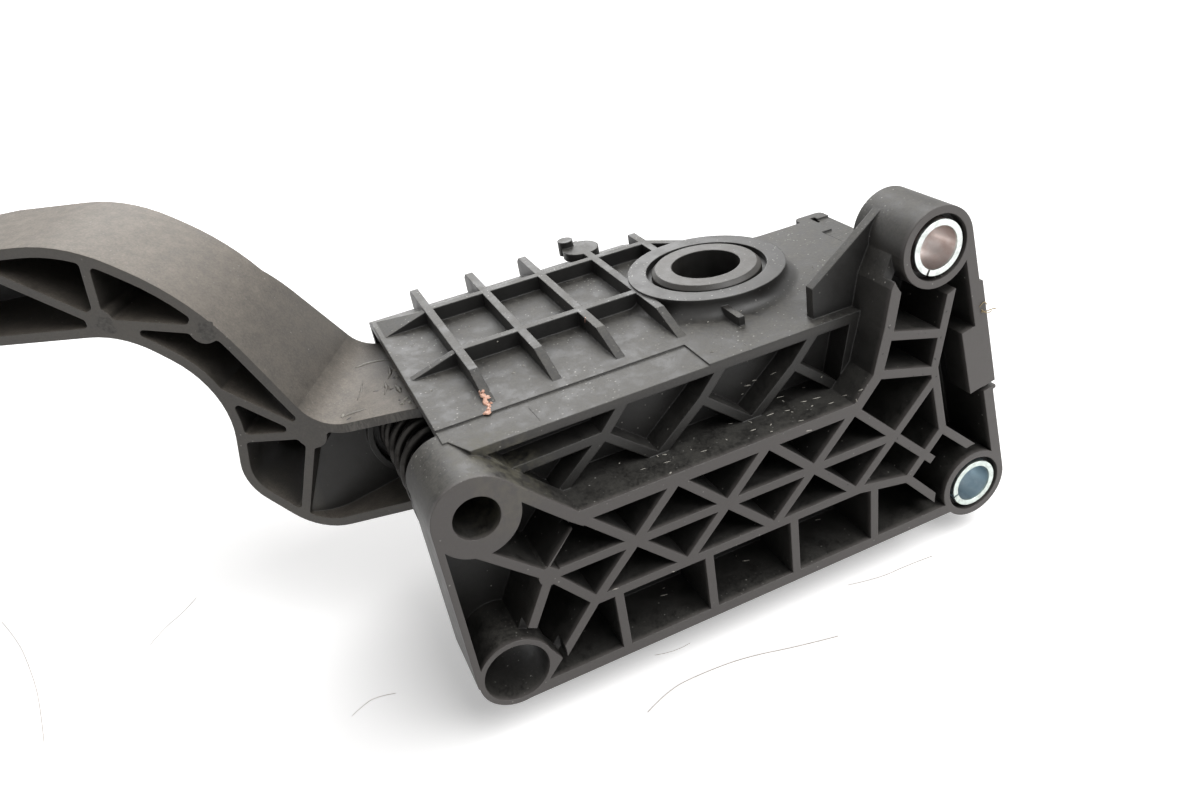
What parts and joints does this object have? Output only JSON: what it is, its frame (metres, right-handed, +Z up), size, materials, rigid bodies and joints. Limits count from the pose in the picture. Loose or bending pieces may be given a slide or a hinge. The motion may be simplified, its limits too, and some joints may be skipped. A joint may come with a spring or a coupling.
{
  "type": "accelerator pedal",
  "caption": "Hanging accelerator pedal with ribbed mounting flange, box housing, swinging arm, return springs and sensor cover.",
  "frame": {"origin": "centre of the open lower boss, on the mounting face", "axes": "+X from the mounting face towards the driver, +Y across the car along the pivot axis to the driver's right, +Z up"},
  "size_m": [0.1401, 0.1036, 0.2686],
  "materials": {
    "housing_plastic": "fine texture, dusty",
    "arm_plastic": "fine texture, rubbed at the neck",
    "bearing_plastic": "smooth",
    "lever_plastic": "smooth",
    "zinc_steel": "zinc plated, dull",
    "spring_wire": "oiled wire",
    "screw_steel": "zinc plated",
    "seal_rubber": "matt",
    "board_laminate": "green solder mask",
    "chip_plastic": "moulded",
    "capacitor_ceramic": "ceramic",
    "tinned_brass": "tin plated",
    "magnet_ferrite": "sintered"
  },
  "bodies": {
    "housing": {"pedal_housing": "housing_plastic", "right_fixing_bush": "zinc_steel", "left_fixing_bush": "zinc_steel", "collar_bush": "bearing_plastic", "cover_bush": "bearing_plastic", "friction_lever": "lever_plastic", "outer_return_spring": "spring_wire", "inner_return_spring": "spring_wire", "side_cover": "housing_plastic", "sensor_lid": "housing_plastic", "lid_seal": "seal_rubber", "lid_screws": "screw_steel", "sensor_board": "board_laminate", "hall_sensors": "chip_plastic", "board_capacitors": "capacitor_ceramic", "connector_pins": "tinned_brass"},
    "arm": {"pedal_arm": "arm_plastic", "magnet_carrier": "lever_plastic", "rotor_magnets": "magnet_ferrite", "flux_ring": "spring_wire"}
  },
  "joints": [
    {"name": "pedal_swing", "type": "hinge", "parent": "housing", "child": "arm", "pos_m": [0.037, 0.028, 0.063], "axis": [0, 1, 0], "range_deg": [0, 14], "stiffness_Nm_per_rad": 9.6, "springref_deg": -22.69, "deforming": ["outer_return_spring", "inner_return_spring"]}
  ]
}
